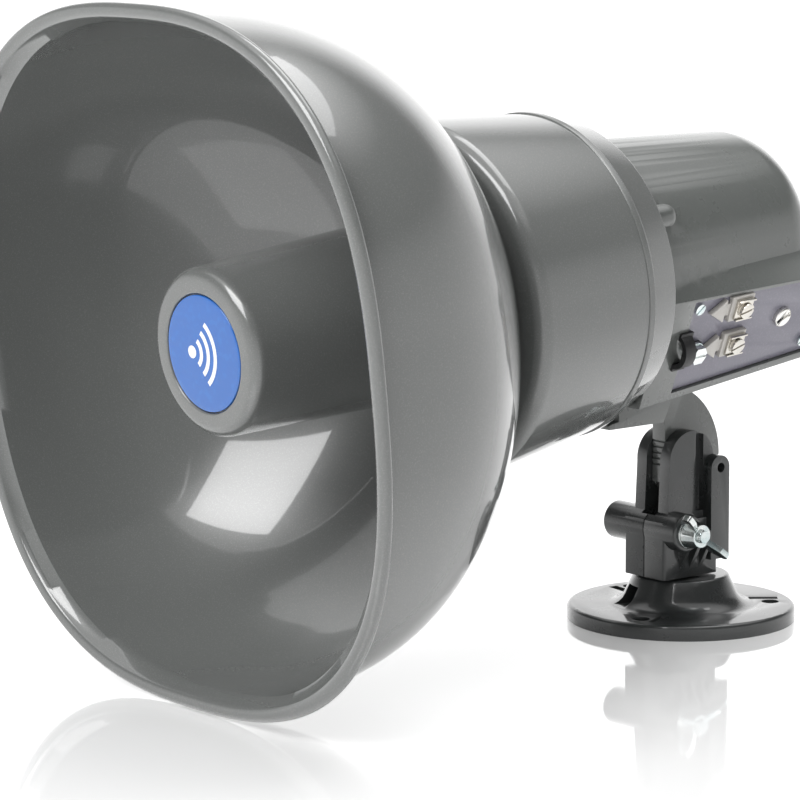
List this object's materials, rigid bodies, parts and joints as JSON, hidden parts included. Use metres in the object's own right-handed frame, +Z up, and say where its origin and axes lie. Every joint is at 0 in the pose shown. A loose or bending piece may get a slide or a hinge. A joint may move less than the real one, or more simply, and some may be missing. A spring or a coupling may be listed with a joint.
{
  "type": "paging horn loudspeaker",
  "caption": "Re-entrant paging horn loudspeaker with a squared bell, a driver housing with a terminal panel, and a wing-nut swivel mount on a round flange.",
  "frame": {"origin": "centre of the underside of the mount's round base flange", "axes": "+Z up, square to the base; the horn's mouth faces -Y and its terminal panel is on the +X side"},
  "size_m": [0.2782, 0.3485, 0.285],
  "materials": {
    "horn_gloss": "glossy moulded grey with a faint speckle",
    "housing_paint": "glossy grey enamel over a die casting",
    "horn_inner": "moulded, satin",
    "badge_blue": "glossy printed disc",
    "gasket_rubber": "matt",
    "panel_grey": "satin, violet grey",
    "zinc_steel": "bright zinc plate",
    "nickel": "bright nickel plate",
    "terminal_cream": "glossy cream moulding",
    "switch_black": "satin black moulding",
    "selector_nickel": "machined",
    "driver_alloy": "as cast",
    "phenolic": "resin-bonded fabric",
    "copper": "varnished copper wire",
    "core_iron": "plated iron",
    "ferrite": "sintered ferrite",
    "mount_black": "gloss dark grey enamel over a zinc casting"
  },
  "bodies": {
    "base": {"base_flange": "mount_black"},
    "clamp": {"clamp_half_right": "mount_black", "clamp_half_left": "mount_black", "tilt_pin": "zinc_steel", "clamp_bolt": "zinc_steel", "clamp_washer": "zinc_steel"},
    "horn": {"bell": "horn_gloss", "reflector": "horn_gloss", "badge_disc": "badge_blue", "tone_arm": "horn_inner", "reflector_fins": "horn_inner", "drum_casing": "horn_gloss", "drum_cover": "horn_gloss", "housing_screws": "zinc_steel", "rear_housing": "housing_paint", "housing_gasket": "gasket_rubber", "terminal_panel": "panel_grey", "panel_screws": "zinc_steel", "tap_switch_body": "switch_black", "cable_clip": "switch_black", "clip_bolt": "zinc_steel", "driver_front_plate": "driver_alloy", "phase_plug": "switch_black", "surround_ring": "phenolic", "spacer_ring": "driver_alloy", "magnet_top_plate": "core_iron", "ring_magnet": "ferrite", "magnet_yoke": "core_iron", "transformer_core": "core_iron", "transformer_coil": "copper", "transformer_bracket": "zinc_steel", "lead_wires": "copper", "tongue_bracket": "housing_paint", "bracket_screws": "zinc_steel", "terminal_base_1": "terminal_cream", "terminal_clamp_1": "nickel", "terminal_screw_1": "nickel", "terminal_base_2": "terminal_cream", "terminal_clamp_2": "nickel", "terminal_screw_2": "nickel"},
    "wing_nut": {"wing_nut": "zinc_steel"},
    "tap_selector": {"tap_selector": "selector_nickel"},
    "voice_coil_assembly": {"diaphragm": "phenolic", "voice_coil": "copper"}
  },
  "joints": [
    {"name": "pan", "type": "hinge", "parent": "base", "child": "clamp", "pos_m": [0, 0, 0.025], "axis": [0, 0, 1], "range_deg": [-180, 180]},
    {"name": "tilt", "type": "hinge", "parent": "clamp", "child": "horn", "pos_m": [0, -0.005, 0.071], "axis": [1, 0, 0], "range_deg": [-60, 60]},
    {"name": "wing_nut_turn", "type": "hinge", "parent": "clamp", "child": "wing_nut", "pos_m": [0.025, -0.0148, 0.0428], "axis": [1, 0, 0], "continuous": true},
    {"name": "tap_select", "type": "hinge", "parent": "horn", "child": "tap_selector", "pos_m": [0.04749, 0.01501, 0.1388], "axis": [0.9078, 0.0385, -0.4177], "range_deg": [-30, 210]},
    {"name": "coil_travel", "type": "slide", "parent": "horn", "child": "voice_coil_assembly", "axis": [0, 0.9958, 0.0918], "range_m": [-0.0003, 0.0003], "stiffness_N_per_m": 2000}
  ]
}
